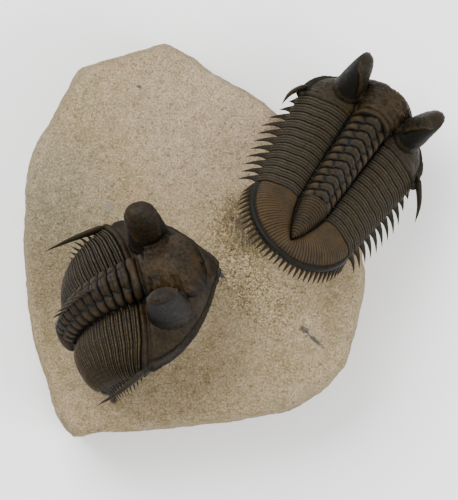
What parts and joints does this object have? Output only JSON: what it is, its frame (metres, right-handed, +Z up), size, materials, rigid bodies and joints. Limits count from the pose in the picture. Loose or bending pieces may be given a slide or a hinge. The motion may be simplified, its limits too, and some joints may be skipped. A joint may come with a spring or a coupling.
{
  "type": "trilobite fossil",
  "caption": "Loose limestone block with two prepared spiny trilobites standing free of it, head shields, thorax plates and tail shields in relief, resting on its flat underside.",
  "frame": {"origin": "centre of the bounding box on the flat underside", "axes": "+Z up out of the prepared face, +Y towards the block's rounded top corner in the picture, +X towards the free-standing upper trilobite"},
  "size_m": [0.0966, 0.0912, 0.0749],
  "materials": {
    "limestone": "matt, scribed",
    "upper_shell": "satin",
    "lower_shell": "satin"
  },
  "bodies": {
    "root": {"matrix": "limestone", "upper_trilobite_cephalon": "upper_shell", "upper_trilobite_thorax_segment_01": "upper_shell", "upper_trilobite_thorax_segment_02": "upper_shell", "upper_trilobite_thorax_segment_03": "upper_shell", "upper_trilobite_thorax_segment_04": "upper_shell", "upper_trilobite_thorax_segment_05": "upper_shell", "upper_trilobite_thorax_segment_06": "upper_shell", "upper_trilobite_thorax_segment_07": "upper_shell", "upper_trilobite_thorax_segment_08": "upper_shell", "upper_trilobite_thorax_segment_09": "upper_shell", "upper_trilobite_thorax_segment_10": "upper_shell", "upper_trilobite_thorax_segment_11": "upper_shell", "upper_trilobite_pygidium": "upper_shell", "lower_trilobite_cephalon": "lower_shell", "lower_trilobite_thorax_segment_01": "lower_shell", "lower_trilobite_thorax_segment_02": "lower_shell", "lower_trilobite_thorax_segment_03": "lower_shell", "lower_trilobite_thorax_segment_04": "lower_shell", "lower_trilobite_thorax_segment_05": "lower_shell", "lower_trilobite_thorax_segment_06": "lower_shell", "lower_trilobite_thorax_segment_07": "lower_shell", "lower_trilobite_thorax_segment_08": "lower_shell", "lower_trilobite_thorax_segment_09": "lower_shell", "lower_trilobite_thorax_segment_10": "lower_shell", "lower_trilobite_thorax_segment_11": "lower_shell", "lower_trilobite_pygidium": "lower_shell"}
  },
  "joints": []
}
